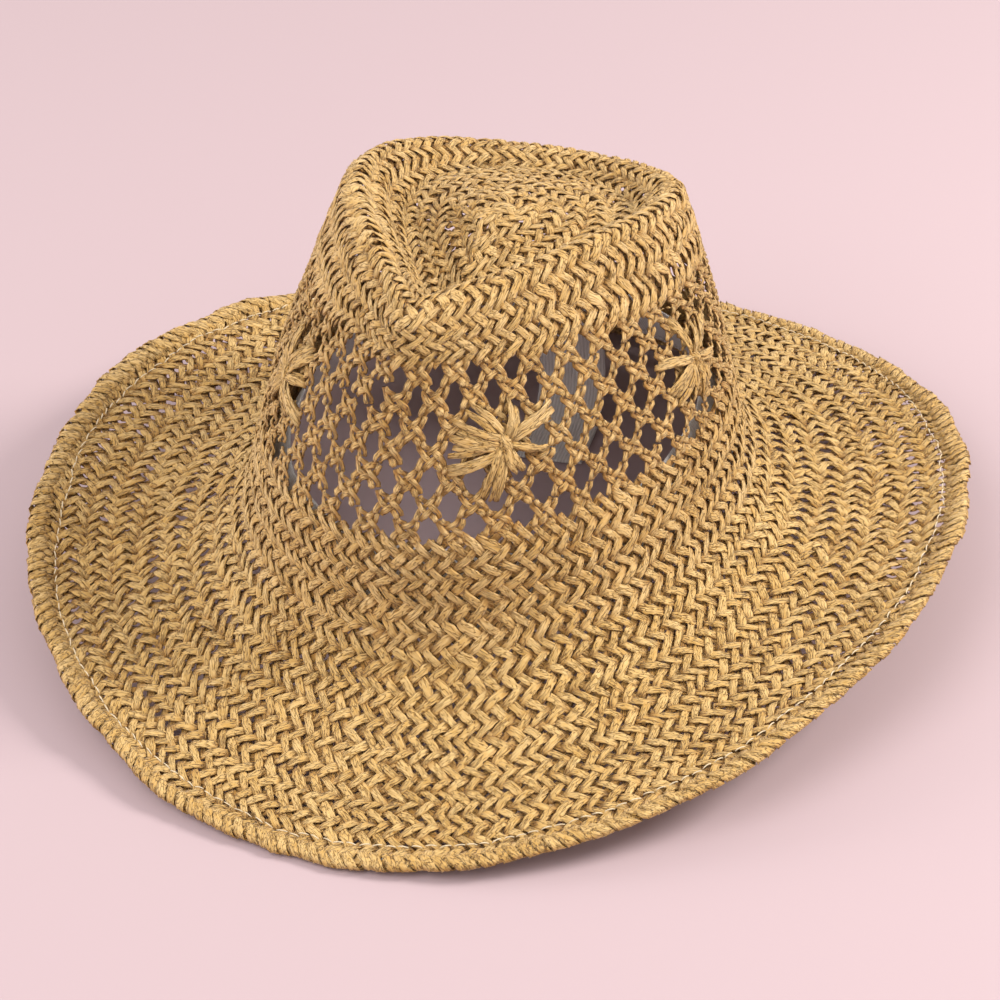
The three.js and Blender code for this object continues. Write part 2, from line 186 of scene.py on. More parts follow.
# %% Measure the surface
FINE_ANGLES = np.linspace(0, 2 * np.pi, 721)
EDGE_OVERHANG, CENTRE_MARGIN = 0.08, 0.04
fine_stations = np.linspace(-EDGE_OVERHANG, CENTRE - CENTRE_MARGIN, 700)
fine_grid = hat_point(fine_stations[:, None], FINE_ANGLES[None, :])
climb = np.linalg.norm(np.diff(fine_grid, axis=0), axis=-1).mean(axis=1)
fine_heights = np.concatenate([[0], np.cumsum(climb)])
fine_heights -= np.interp(0, fine_stations, fine_heights)


def height_of(station):
    """Mean distance up the plait, in mm, from the brim's edge to a station."""
    return float(np.interp(station, fine_stations, fine_heights))


print("mm up the plait at each station:", [round(height_of(s), 1) for s in range(CENTRE + 1)])

# %% Build the guide
ROW_STEP = 1.5
SEAM_OVERLAP = 0.04
workshop = bpy.data.collections.new("workshop")
bpy.context.scene.collection.children.link(workshop)


def grid_faces(rows, columns):
    corner = np.arange(rows * columns).reshape(rows, columns)
    quads = [corner[:-1, :-1], corner[:-1, 1:], corner[1:, 1:], corner[1:, :-1]]
    return np.stack(quads, axis=-1).reshape(-1, 4)


def make_mesh(name, vertices, faces):
    mesh = bpy.data.meshes.new(name)
    mesh.from_pydata(np.asarray(vertices, float).reshape(-1, 3).tolist(), [],
                     [list(map(int, face)) for face in faces])
    mesh.update()
    return mesh


def add_attribute(mesh, name, kind, values):
    field = "value" if kind == "FLOAT" else "vector"
    mesh.attributes.new(name, kind, "POINT").data.foreach_set(field, np.ravel(values))


def show(name, data):
    """A new object in the scene, standing at the origin."""
    piece = bpy.data.objects.new(name, data)
    bpy.context.scene.collection.objects.link(piece)
    return piece


def run_along(ring):
    """The distance round a ring of points, from its first point to each of them."""
    return np.concatenate([[0], np.cumsum(np.linalg.norm(np.diff(ring, axis=0), axis=-1))])


def make_guide(name, heights, rings):
    """One row of the guide for each ring of points, all going round the hat from its front."""
    shares = np.linspace(-SEAM_OVERLAP, 1 + SEAM_OVERLAP, 400)
    place = np.zeros((len(heights), len(shares), 3))
    lengths = np.zeros(len(heights))
    for row, ring in enumerate(rings):
        run = run_along(ring)
        lengths[row] = run[-1]
        for axis in range(3):
            place[row, :, axis] = np.interp(shares % 1, run / run[-1], ring[:, axis])
    outward = np.cross(np.gradient(place, axis=1), np.gradient(place, axis=0))
    outward /= np.linalg.norm(outward, axis=-1, keepdims=True)
    mesh = make_mesh(name, place * MM, grid_faces(len(heights), len(shares)))
    flat = np.stack(np.meshgrid(shares, heights * MM), axis=-1)
    flat = np.concatenate([flat, np.zeros(flat.shape[:2] + (1,))], axis=-1)
    add_attribute(mesh, "flat_place", "FLOAT_VECTOR", flat)
    add_attribute(mesh, "outward", "FLOAT_VECTOR", outward)
    add_attribute(mesh, "row_length", "FLOAT", np.repeat(lengths * MM, len(shares)))
    guide = bpy.data.objects.new(name, mesh)
    workshop.objects.link(guide)
    return guide, lengths


guide_heights = np.arange(fine_heights[0], fine_heights[-1], ROW_STEP)
guide_stations = np.interp(guide_heights, fine_heights, fine_stations)
guide, guide_lengths = make_guide(
    "hat_guide", guide_heights, hat_point(guide_stations[:, None], FINE_ANGLES[None, :]))


def row_length(height):
    return float(np.interp(height, guide_heights, guide_lengths))


print("guide:", len(guide.data.vertices), "points; edge", round(row_length(0)), "mm round")

# %% [markdown]
# ## One strand of twisted paper
# A strand is crumpled paper about 3 mm wide. A flat ribbon would look like raffia and a round tube
# like rope, so its section is a flattened tube with a groove or two along it, a little different
# in each copy. Each float needs only a few dozen faces, because thousands of them follow.

# %% Strand builder
STRAND_SECTION = np.array([(1, 0), (0.74, 0.72), (0.34, 0.42), (-0.05, 0.95), (-0.42, 0.5),
                           (-0.78, 0.8), (-1, 0), (-0.45, -0.55), (0.45, -0.55)])
PLAIN_SECTION = np.array([(1, 0), (0.5, 0.7), (-0.5, 0.7), (-1, 0), (-0.5, -0.7), (0.5, -0.7)])


class Bench:
    """Collects strands as plain arrays, and makes one mesh of them."""

    def __init__(self, seed):
        self.chance = np.random.default_rng(seed)
        self.vertices, self.faces, self.grain = [], [], []

    def strand(self, path, width, thickness, section=STRAND_SECTION, crumple=0.24, end=0.78,
               twist=0.2, face=(0, 0, 1)):
        """A strand along a path of (x, y, z) in mm. Its flat side looks towards face."""
        path = np.asarray(path, float)
        count, sides = len(path), len(section)
        along = np.gradient(path, axis=0)
        along /= np.linalg.norm(along, axis=1, keepdims=True)
        across = np.cross(face, along)
        across /= np.linalg.norm(across, axis=1, keepdims=True)
        above = np.cross(along, across)
        share = np.linspace(-1, 1, count)
        swell = lerp(1, end, share ** 2)
        turn = twist * self.chance.uniform(-1, 1) * share
        first = sum(len(v) for v in self.vertices)
        own_tone = self.chance.random()
        for i in range(count):
            noise = self.chance.uniform(1 - crumple, 1 + crumple, (sides, 2))
            flat = section * noise * (width / 2 * swell[i], thickness / 2)
            c, s = math.cos(turn[i]), math.sin(turn[i])
            x, y = flat[:, :1] * c - flat[:, 1:] * s, flat[:, :1] * s + flat[:, 1:] * c
            self.vertices.append(path[i] + x * across[i] + y * above[i])
            length = np.full(sides, share[i] * 0.5 * count)
            self.grain.append(np.stack([section[:, 0], length, np.full(sides, own_tone)], axis=1))
        for i in range(count - 1):
            for k in range(sides):
                a, b = first + i * sides + k, first + i * sides + (k + 1) % sides
                self.faces.append((a, b, b + sides, a + sides))
        last = first + (count - 1) * sides
        self.faces.append([first + k for k in reversed(range(sides))])
        self.faces.append([last + k for k in range(sides)])

    def finish(self, name):
        mesh = make_mesh(name, np.concatenate(self.vertices) * MM, self.faces)
        add_attribute(mesh, "grain", "FLOAT_VECTOR", np.concatenate(self.grain))
        # The height in the flat work; the straw shader paints shade into the crevices where it is
        # near zero.
        add_attribute(mesh, "rise", "FLOAT", np.abs(np.concatenate(self.vertices)[:, 2]))
        return bpy.data.objects.new(name, mesh)


def variants(name, make, count):
    """A collection of copies that differ only by their seed, for the trees to pick from."""
    collection = bpy.data.collections.new(name)
    workshop.children.link(collection)
    for number in range(count):
        collection.objects.link(make(f"{name}_{number:02d}", number))
    return collection


# %% [markdown]
# ## The plait itself
# The straw is plaited on the slant: one row shows strands leaning one way, the next row strands
# leaning the other way, each over two and under two. A woven cloth simulation is far too heavy for
# this, so each crossing is a float that rises in its middle and dives under its neighbours, with a
# strand of the other lean below it. Geometry Nodes sets out the rows and lays them on the guide.

# %% Floats of the plait
BRIM_PLAIT = {"width": 3.3, "length": 10.4, "lean": 42, "pitch": 5.6, "row": 4.75}
CROWN_PLAIT = {"width": 2.95, "length": 9.6, "lean": 44, "pitch": 4.8, "row": 4.4}
STRAND_THICKNESS, LEAN_COPIES = 1.1, 6
LEAN_SPREAD, SWAY, FLOAT_TWIST = 8, 0.5, 0.45
CREST_LEVELS, DIVE_LEVELS, UNDER_LEVELS = (0.7, 1.25), (-0.6, -0.2), (-1.0, 0.2)
TOP_STEPS, UNDER_STEPS, UNDER_WIDER = 7, 5, 1.05


def float_path(length, lean, crest, dive, steps, sway=0.0):
    share = np.linspace(-1, 1, steps)
    slant = math.radians(lean)
    x = share * length / 2 * math.cos(slant) - sway * (1 - share ** 2) * math.sin(slant)
    y = share * length / 2 * math.sin(slant) + sway * (1 - share ** 2) * math.cos(slant)
    return np.stack([x, y, lerp(crest, dive, np.abs(share) ** 1.8)], axis=1)


def plait_floats(name, plait):
    def crossing(name, number):
        bench = Bench(seed=100 + number)
        chance = bench.chance
        lean = plait["lean"] if number < LEAN_COPIES else -plait["lean"]
        top = float_path(plait["length"] * chance.uniform(0.86, 1.1),
                         lean + chance.uniform(-LEAN_SPREAD, LEAN_SPREAD),
                         chance.uniform(*CREST_LEVELS), chance.uniform(*DIVE_LEVELS), TOP_STEPS,
                         chance.uniform(-SWAY, SWAY))
        bench.strand(top, plait["width"] * chance.uniform(0.82, 1.08), STRAND_THICKNESS,
                     twist=FLOAT_TWIST)
        under = float_path(plait["length"], -lean, *UNDER_LEVELS, UNDER_STEPS)
        bench.strand(under, plait["width"] * UNDER_WIDER, STRAND_THICKNESS, PLAIN_SECTION)
        return bench.finish(name)

    return variants(name, crossing, 2 * LEAN_COPIES)


brim_floats = plait_floats("brim_float", BRIM_PLAIT)
crown_floats = plait_floats("crown_float", CROWN_PLAIT)


# %% Node helpers
def pick_socket(sockets, key):
    """The enabled socket of that name, or the enabled socket at that place."""
    enabled = [socket for socket in sockets if socket.enabled]
    return enabled[key] if isinstance(key, int) else next(s for s in enabled if s.name == key)


def put(tree, kind, inputs=None, **settings):
    """Adds a node, sets its properties, and fills its inputs with values or other sockets."""
    node = tree.nodes.new(kind)
    for key, value in settings.items():
        setattr(node, key, value)
    for key, value in (inputs or {}).items():
        socket = pick_socket(node.inputs, key)
        if isinstance(value, bpy.types.NodeSocket):
            tree.links.new(value, socket)
        else:
            socket.default_value = value
    return node


def out(node, key=0):
    return pick_socket(node.outputs, key)


def maths(tree, operation, *values):
    return out(put(tree, "ShaderNodeMath", dict(enumerate(values)), operation=operation))


def vector_of(tree, x=0.0, y=0.0, z=0.0):
    return out(put(tree, "ShaderNodeCombineXYZ", {"X": x, "Y": y, "Z": z}))


def vector_maths(tree, operation, first, second):
    key = "Scale" if operation == "SCALE" else 1
    return out(put(tree, "ShaderNodeVectorMath", {0: first, key: second}, operation=operation))


def random_between(tree, low, high, seed):
    return out(put(tree, "FunctionNodeRandomValue", {"Min": low, "Max": high, "Seed": seed},
                   data_type="FLOAT"))


def new_group(name, kind, inputs, outputs):
    """An empty node group, with its inputs by name and the sockets of its output."""
    tree = bpy.data.node_groups.new(name, kind)
    for label, socket_kind, default in inputs:
        socket = tree.interface.new_socket(label, in_out="INPUT",
                                           socket_type=f"NodeSocket{socket_kind}")
        if default is not None:
            socket.default_value = default
    for label, socket_kind in outputs:
        tree.interface.new_socket(label, in_out="OUTPUT", socket_type=f"NodeSocket{socket_kind}")
    given = {socket.name: socket for socket in tree.nodes.new("NodeGroupInput").outputs}
    return tree, given, tree.nodes.new("NodeGroupOutput").inputs


def new_tree(name, sockets):
    return new_group(name, "GeometryNodeTree", sockets, [("Geometry", "Geometry")])


def recall(tree, name, kind="FLOAT"):
    """A named attribute, read in a geometry tree."""
    return out(put(tree, "GeometryNodeInputNamedAttribute", {"Name": name}, data_type=kind))


def read_guide(tree, guide_mesh, value, spot, kind):
    """What the guide holds at a spot of its UV map."""
    uv = recall(tree, "flat_place", "FLOAT_VECTOR")
    return out(put(tree, "GeometryNodeSampleUVSurface",
                   {"Mesh": guide_mesh, "Value": value, "UV Map": uv, "Sample UV": spot},
                   data_type=kind))


# %% [markdown]
# ### Laying flat work on the hat
# Both trees below end the same way, so that ending is a group of its own. A slow wander first
# takes the machine-made look away. Sample UV Surface then finds the place on the guide. It gives
# nothing outside the guide's UV map, so the share wraps round and the height stops at its ends.

# %% The lay-on-hat group
def lay_on_hat_group():
    tree, given, result = new_tree("Lay on hat", [
        ("Geometry", "Geometry", None), ("Guide", "Object", None), ("Lift", "Float", 0.0),
        ("Wander", "Float", 0.0006), ("Wander size", "Float", 0.034),
        ("Material", "Material", None)])
    guide_mesh = out(put(tree, "GeometryNodeObjectInfo", {"Object": given["Guide"]}), "Geometry")
    place = out(put(tree, "GeometryNodeInputPosition"))
    scale = maths(tree, "DIVIDE", 1.0, given["Wander size"])
    noise = put(tree, "ShaderNodeTexNoise", {"Vector": place, "Scale": scale, "Detail": 1.0})
    centred = vector_maths(tree, "SUBTRACT", out(noise, "Color"), (0.5, 0.5, 0.5))
    along = maths(tree, "MULTIPLY", given["Wander"], 4.0)
    wander = vector_maths(tree, "MULTIPLY", centred,
                          vector_of(tree, along, along, given["Wander"]))
    moved = vector_maths(tree, "ADD", place, wander)
    parts = put(tree, "ShaderNodeSeparateXYZ", {0: moved})
    share = maths(tree, "FRACT", maths(tree, "DIVIDE", out(parts, "X"),
                                       recall(tree, "row_length")))
    height = out(put(tree, "ShaderNodeClamp", {
        0: out(parts, "Y"), 1: float(guide_heights[0] * MM), 2: float(guide_heights[-1] * MM)}))
    spot = vector_of(tree, share, height)
    ground = read_guide(tree, guide_mesh, out(put(tree, "GeometryNodeInputPosition")), spot,
                        "FLOAT_VECTOR")
    outward = read_guide(tree, guide_mesh, recall(tree, "outward", "FLOAT_VECTOR"), spot,
                         "FLOAT_VECTOR")
    up = maths(tree, "ADD", out(parts, "Z"), given["Lift"])
    final = vector_maths(tree, "ADD", ground, vector_maths(tree, "SCALE", outward, up))
    laid = put(tree, "GeometryNodeSetPosition", {"Geometry": given["Geometry"], "Position": final})
    smooth = put(tree, "GeometryNodeSetShadeSmooth", {"Geometry": out(laid)})
    painted = put(tree, "GeometryNodeSetMaterial",
                  {"Geometry": out(smooth), "Material": given["Material"]})
    tree.links.new(out(painted), result["Geometry"])
    return tree


lay_on_hat = lay_on_hat_group()


# %% The rows tree
def rows_tree():
    tree, given, result = new_tree("Rows of strands", [
        ("Guide", "Object", None), ("Strands", "Collection", None), ("Leans", "Int", 1),
        ("Copies", "Int", 1), ("First row", "Float", 0.0), ("Row height", "Float", 0.0058),
        ("Rows", "Int", 1), ("Pitch", "Float", 0.0053), ("Columns", "Int", 0),
        ("Start", "Float", 0.0), ("Stagger", "Float", 0.5), ("Turn", "Float", 0.1),
        ("Shift", "Float", 0.00042), ("Lift", "Float", 0.0), ("Wander", "Float", 0.0016),
        ("Clear of", "Object", None), ("Clear radius", "Float", 0.0),
        ("Clear length", "Float", 1.0), ("First lean", "Int", 0), ("Seed", "Int", 0),
        ("Material", "Material", None)])
    guide_mesh = out(put(tree, "GeometryNodeObjectInfo", {"Object": given["Guide"]}), "Geometry")
    line = put(tree, "GeometryNodeMeshLine", {"Count": given["Rows"]})
    starts = out(put(tree, "GeometryNodeMeshToPoints", {"Mesh": out(line)}))
    row = out(put(tree, "GeometryNodeInputIndex"))
    height = maths(tree, "MULTIPLY_ADD", row, given["Row height"], given["First row"])
    spot = vector_of(tree, 0.5, height)
    length = read_guide(tree, guide_mesh, recall(tree, "row_length"), spot, "FLOAT")
    fitted = maths(tree, "ROUND", maths(tree, "DIVIDE", length, given["Pitch"]))
    fixed = maths(tree, "GREATER_THAN", given["Columns"], 0.5)
    chosen = maths(tree, "ADD", maths(tree, "MULTIPLY", fixed, given["Columns"]),
                   maths(tree, "MULTIPLY", maths(tree, "SUBTRACT", 1.0, fixed), fitted))
    count = maths(tree, "MAXIMUM", chosen, 1.0)

    marked = starts
    for name, value in (("row", row), ("row_height", height), ("row_length", length),
                        ("row_count", count)):
        marked = out(put(tree, "GeometryNodeStoreNamedAttribute",
                         {"Geometry": marked, "Name": name, "Value": value},
                         data_type="FLOAT", domain="POINT"))
    copies = put(tree, "GeometryNodeDuplicateElements",
                 {"Geometry": marked, "Amount": recall(tree, "row_count")}, domain="POINT")
    odd = maths(tree, "MODULO", recall(tree, "row"), 2.0)
    column = maths(tree, "ADD", given["Start"], maths(tree, "MULTIPLY_ADD", odd, given["Stagger"],
                                                     out(copies, "Duplicate Index")))
    share = maths(tree, "DIVIDE", column, recall(tree, "row_count"))
    across = maths(tree, "MULTIPLY", share, recall(tree, "row_length"))
    shift = given["Shift"]
    back = maths(tree, "MULTIPLY", shift, -1.0)
    seed = given["Seed"]

    def seeded(step):
        return maths(tree, "ADD", seed, float(step))

    place = vector_of(
        tree, maths(tree, "ADD", across, random_between(tree, back, shift, seeded(1))),
        maths(tree, "ADD", recall(tree, "row_height"),
              random_between(tree, back, shift, seeded(2))))
    placed = out(put(tree, "GeometryNodeSetPosition",
                     {"Geometry": out(copies), "Position": place}))
    around = out(put(tree, "GeometryNodeObjectInfo", {"Object": given["Clear of"]}), "Geometry")
    tested = vector_of(tree, maths(tree, "MULTIPLY", share, given["Clear length"]),
                       recall(tree, "row_height"))
    near = put(tree, "GeometryNodeProximity", {0: around, "Sample Position": tested},
               target_element="POINTS")
    close = maths(tree, "LESS_THAN", out(near, "Distance"), given["Clear radius"])
    cleared = out(put(tree, "GeometryNodeDeleteGeometry",
                      {"Geometry": placed, "Selection": close}, domain="POINT"))
    side = maths(tree, "MODULO", maths(tree, "ADD", recall(tree, "row"), given["First lean"]),
                 given["Leans"])
    pick = maths(tree, "MULTIPLY_ADD", side, given["Copies"],
                 maths(tree, "FLOOR", random_between(tree, 0.0, given["Copies"], seeded(3))))
    turn = given["Turn"]
    spin = vector_of(tree, z=random_between(tree, maths(tree, "MULTIPLY", turn, -1.0), turn,
                                            seeded(4)))
    collection = put(tree, "GeometryNodeCollectionInfo",
                     {"Collection": given["Strands"], "Separate Children": True,
                      "Reset Children": True})
    strands = out(put(tree, "GeometryNodeInstanceOnPoints", {
        "Points": cleared, "Instance": out(collection), "Pick Instance": True,
        "Instance Index": pick,
        "Rotation": out(put(tree, "FunctionNodeEulerToRotation", {0: spin}))}))
    toned = out(put(tree, "GeometryNodeStoreNamedAttribute",
                    {"Geometry": strands, "Name": "tone",
                     "Value": random_between(tree, 0.0, 1.0, seeded(5))},
                    data_type="FLOAT", domain="INSTANCE"))
    realized = out(put(tree, "GeometryNodeRealizeInstances", {0: toned}))
    laid = put(tree, "GeometryNodeGroup", node_tree=lay_on_hat)
    for label in ("Guide", "Lift", "Wander", "Material"):
        tree.links.new(given[label], laid.inputs[label])
    tree.links.new(realized, laid.inputs["Geometry"])
    tree.links.new(laid.outputs["Geometry"], result["Geometry"])
    return tree


rows_of_strands = rows_tree()


# %% Run a tree and keep its result
WORK_ATTRIBUTES = ("row", "row_height", "row_length", "row_count")


def grow(name, tree, values, start=None):
    """Runs a tree on a holder object and returns its result as a plain, unmodified mesh object."""
    holder = bpy.data.objects.new(name + "_holder", start or bpy.data.meshes.new(name + "_empty"))
    workshop.objects.link(holder)
    modifier = holder.modifiers.new("grow", "NODES")
    modifier.node_group = tree
    sockets = {item.name: item.identifier for item in tree.interface.items_tree
               if item.in_out == "INPUT"}
    for label, value in values.items():
        modifier[sockets[label]] = value
    graph = bpy.context.evaluated_depsgraph_get()
    mesh = bpy.data.meshes.new_from_object(holder.evaluated_get(graph))
    mesh.name = name
    for attribute in WORK_ATTRIBUTES:
        if attribute in mesh.attributes:
            mesh.attributes.remove(mesh.attributes[attribute])
    bpy.data.objects.remove(holder)
    print(name, len(mesh.polygons), "faces")
    return show(name, mesh)


def keep(piece, slot, *nodes):
    """The piece rides on the hat's body and hides the CAD nodes it stands for; slot is not used.
    """
    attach(piece, BODY)
    if nodes:
        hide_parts(*nodes)


# %% [markdown]
# ## Finishes
# Paper straw is not one colour: each strand took the dye differently and its crests are polished
# by handling. The dark lines along its creases and the darker colour where floats dive between
# their neighbours are painted shade. A picture of straw would stretch on the strands, so the
# colour comes from noise along each strand's own grain, with its own chance number. One shader
# group holds this, and each straw material adds its own gloss.

# %% Shader helpers
def ramp(tree, factor, stops):
    node = put(tree, "ShaderNodeValToRGB", {"Fac": factor})
    elements = node.color_ramp.elements
    while len(elements) < len(stops):
        elements.new(0.5)
    for element, (position, colour) in zip(elements, stops):
        element.position, element.color = position, (*colour, 1)
    return out(node, "Color")


def noise(tree, vector, scale, detail=2.0, roughness=0.5):
    return out(put(tree, "ShaderNodeTexNoise", {
        "Vector": vector, "Scale": scale, "Detail": detail, "Roughness": roughness}), 0)


def mix_colour(tree, factor, first, second, blend="MIX"):
    node = tree.nodes.new("ShaderNodeMix")
    node.data_type, node.blend_type = "RGBA", blend
    for index, value in ((0, factor), (6, first), (7, second)):
        if isinstance(value, bpy.types.NodeSocket):
            tree.links.new(value, node.inputs[index])
        else:
            node.inputs[index].default_value = value if index == 0 else (*value, 1)
    return node.outputs[2]


# %% The straw group
STRAW_DARK, STRAW_MID, STRAW_LIGHT = (0.24, 0.11, 0.014), (0.52, 0.31, 0.083), (0.66, 0.45, 0.19)
# The colour of the painted shade in the plait's crevices.
CREVICE_SHADE_COLOUR = (0.66, 0.5, 0.26)
STRAND_STRIDE, OWN_STRIDE, CREASE_SHARPNESS, CREASE_DEPTH = 41.0, 7.3, 22.0, -0.4


def straw_group():
    tree, _, result = new_group("Paper straw", "ShaderNodeTree", [], [
        ("Colour", "Color"), ("Crest", "Float"), ("Normal", "Vector")])
    grain = out(put(tree, "ShaderNodeAttribute", attribute_name="grain"), "Vector")
    tone = out(put(tree, "ShaderNodeAttribute", attribute_name="tone"), "Fac")
    parts = put(tree, "ShaderNodeSeparateXYZ", {0: grain})
    chance = maths(tree, "ADD", out(parts, "Z"), tone)

    def along_strand(across_scale, along_scale, shift):
        return vector_of(tree, maths(tree, "MULTIPLY", out(parts, "X"), across_scale),
                         maths(tree, "MULTIPLY", out(parts, "Y"), along_scale),
                         maths(tree, "MULTIPLY_ADD", chance, STRAND_STRIDE, shift))

    place = out(put(tree, "ShaderNodeTexCoord"), "Object")
    fibre = noise(tree, along_strand(3.0, 0.35, 0.0), 1.4, 2.0, 0.5)
    fold = noise(tree, along_strand(2.2, 0.4, 9.0), 1.0, 1.0, 0.5)
    crease = maths(tree, "SUBTRACT", 1.0, out(put(tree, "ShaderNodeClamp", {0: maths(
        tree, "MULTIPLY", maths(tree, "ABSOLUTE", maths(tree, "SUBTRACT", fold, 0.5)),
        CREASE_SHARPNESS)})))
    crumple = noise(tree, place, 420.0, 2.0, 0.55)
    patch = noise(tree, place, 22.0, 2.0, 0.5)
    own = maths(tree, "FRACT", maths(tree, "MULTIPLY", chance, OWN_STRIDE))
    body = maths(tree, "ADD", maths(tree, "MULTIPLY_ADD", fibre, 0.36, 0.13),
                 maths(tree, "MULTIPLY", crumple, 0.28))
    height = maths(tree, "MULTIPLY_ADD", crease, CREASE_DEPTH, body)
    # Painted shade: the colour darkens along each crease, where the bump cuts a groove; the groove
    # itself is real relief.
    shade = maths(tree, "ADD", maths(tree, "MULTIPLY_ADD", crease, -0.3, body),
                  maths(tree, "ADD", maths(tree, "MULTIPLY", own, 0.13),
                        maths(tree, "MULTIPLY", patch, 0.16)))
    face_colour = ramp(tree, shade, [(0.3, STRAW_DARK), (0.5, STRAW_MID), (0.7, STRAW_LIGHT)])
    # Painted shade: the colour darkens where a strand's height in the flat work is near zero, as
    # where floats dive between their neighbours.
    rise = out(put(tree, "ShaderNodeAttribute", attribute_name="rise"), "Fac")
    painted_crevice_shade = ramp(tree, rise, [(0.1, CREVICE_SHADE_COLOUR), (1.0, (1, 1, 1))])
    colour = mix_colour(tree, 1.0, face_colour, painted_crevice_shade, "MULTIPLY")
    bump = put(tree, "ShaderNodeBump", {"Strength": 1.0, "Distance": 0.0011, "Height": height})
    tree.links.new(colour, result["Colour"])
    tree.links.new(height, result["Crest"])
    tree.links.new(out(bump), result["Normal"])
    return tree


straw_shading = straw_group()


def new_material(name):
    """A material, its node tree and its own shader."""
    material = bpy.data.materials.new(name)
    material.use_nodes = True
    return material, material.node_tree, material.node_tree.nodes["Principled BSDF"]


def straw_material(name, tint=(1, 1, 1)):
    material, tree, shader = new_material(name)
    group = put(tree, "ShaderNodeGroup", node_tree=straw_shading)
    colour = mix_colour(tree, 1.0, group.outputs["Colour"], tint, "MULTIPLY")
    tree.links.new(colour, shader.inputs["Base Color"])
    gloss = maths(tree, "MULTIPLY_ADD", group.outputs["Crest"], -0.45, 0.8)
    tree.links.new(gloss, shader.inputs["Roughness"])
    tree.links.new(group.outputs["Normal"], shader.inputs["Normal"])
    shader.inputs["Specular IOR Level"].default_value = 0.45
    shader.inputs["Sheen Weight"].default_value = 0.12
    return material


crown_straw = straw_material("crown_straw", (1.0, 1.0, 1.0))
brim_straw = straw_material("brim_straw", (1.0, 1.0, 0.94))
hem_straw = straw_material("hem_straw", (1.0, 1.0, 0.95))


# %% [markdown]
# Sewing thread, ribbed satin and steel wire are simpler. The satin's ribs run across the ribbon,
# so they come from a wave on the ribbon's own measure, which the piece carries as its grain.

# %% Thread, satin and steel
def plain_material(name, colour, roughness, metallic=0.0, sheen=0.0):
    material, tree, shader = new_material(name)
    shader.inputs["Metallic"].default_value = metallic
    shader.inputs["Sheen Weight"].default_value = sheen
    place = out(put(tree, "ShaderNodeTexCoord"), "Object")
    speckle = noise(tree, place, 900.0, 2.0, 0.6)
    dark = tuple(0.72 * part for part in colour)
    tree.links.new(ramp(tree, speckle, [(0.35, dark), (0.65, colour)]),
                   shader.inputs["Base Color"])
    tree.links.new(maths(tree, "MULTIPLY_ADD", speckle, 0.25, roughness - 0.12),
                   shader.inputs["Roughness"])
    bump = put(tree, "ShaderNodeBump", {"Strength": 0.3, "Distance": 0.0002, "Height": speckle})
    tree.links.new(out(bump), shader.inputs["Normal"])
    return material


def satin_material():
    material, tree, shader = new_material("ribbed_satin")
    grain = put(tree, "ShaderNodeSeparateXYZ", {0: out(
        put(tree, "ShaderNodeAttribute", attribute_name="grain"), "Vector")})
    rib = maths(tree, "SINE", maths(tree, "MULTIPLY", out(grain, "X"), 2 * math.pi / RIB_PITCH))
    weft = maths(tree, "SINE", maths(tree, "MULTIPLY", out(grain, "Y"), 2 * math.pi / WEFT_PITCH))
    height = maths(tree, "ADD", rib, maths(tree, "MULTIPLY", weft, 0.2))
    # Painted shade: the ribs are darker in their troughs, following the same wave as the bump.
    shade = maths(tree, "MULTIPLY_ADD", rib, 0.35, 0.5)
    colour = ramp(tree, shade, [(0.1, (0.7, 0.68, 0.67)), (0.9, (0.93, 0.92, 0.92))])
    bump = put(tree, "ShaderNodeBump", {"Strength": 0.5, "Distance": 0.0002, "Height": height})
    tree.links.new(colour, shader.inputs["Base Color"])
    tree.links.new(out(bump), shader.inputs["Normal"])
    shader.inputs["Roughness"].default_value = 0.38
    shader.inputs["Sheen Weight"].default_value = 0.25
    return material


RIB_PITCH, WEFT_PITCH = 1.3, 0.35
satin = satin_material()
thread = plain_material("cotton_thread", (0.74, 0.62, 0.42), 0.6, sheen=0.2)
white_thread = plain_material("white_thread", (0.72, 0.69, 0.62), 0.6, sheen=0.2)
steel = plain_material("bright_steel", (0.55, 0.56, 0.58), 0.35, metallic=1.0)

# %% [markdown]
# ## Brim and lower crown
# One plait runs from inside the hem, across the brim, through the flare and up to the openwork.
# It is made as four pieces, because one mesh of it would be too heavy to keep. The rows go on
# alternating across the joins, so the joins don't show.

# %% Plait the brim and lower crown
HEM_INNER = 3.6
low_rows = round((height_of(3) - HEM_INNER) / BRIM_PLAIT["row"])
low_step = (height_of(3) - HEM_INNER) / low_rows
brim_top = round((height_of(1.5) - HEM_INNER) / low_step)


def plait(name, material, node, bottom, step, first, last, parity=0, floats=brim_floats,
          pitch=BRIM_PLAIT["pitch"]):
    """Rows first to last of a plait whose row 0 starts at bottom. Sizes are in mm."""
    piece = grow(name, rows_of_strands, {
        "Guide": guide, "Strands": floats, "Leans": 2, "Copies": LEAN_COPIES,
        "First row": (bottom + (first + 0.5) * step) * MM, "Row height": step * MM,
        "Rows": last - first, "Pitch": pitch * MM, "First lean": (first + parity) % 2,
        "Seed": 10 * first + len(name), "Material": material})
    keep(piece, "straw", node)
    return piece


cuts = [0, round(brim_top * 0.3), round(brim_top * 0.63), brim_top]
for label, first, last in zip(("outer", "middle", "inner"), cuts, cuts[1:]):
    plait(f"brim_plait_{label}", brim_straw, "brim", HEM_INNER, low_step, first, last)
plait("crown_lower_plait", crown_straw, "crown_lower_wall", HEM_INNER, low_step, brim_top,
      low_rows)

# %% [markdown]
# ## Upper crown and tip
# Above the openwork the plait goes on to the rim of the crown, folds over it and runs down into
# the pinched dent, where its rings shrink to nothing.

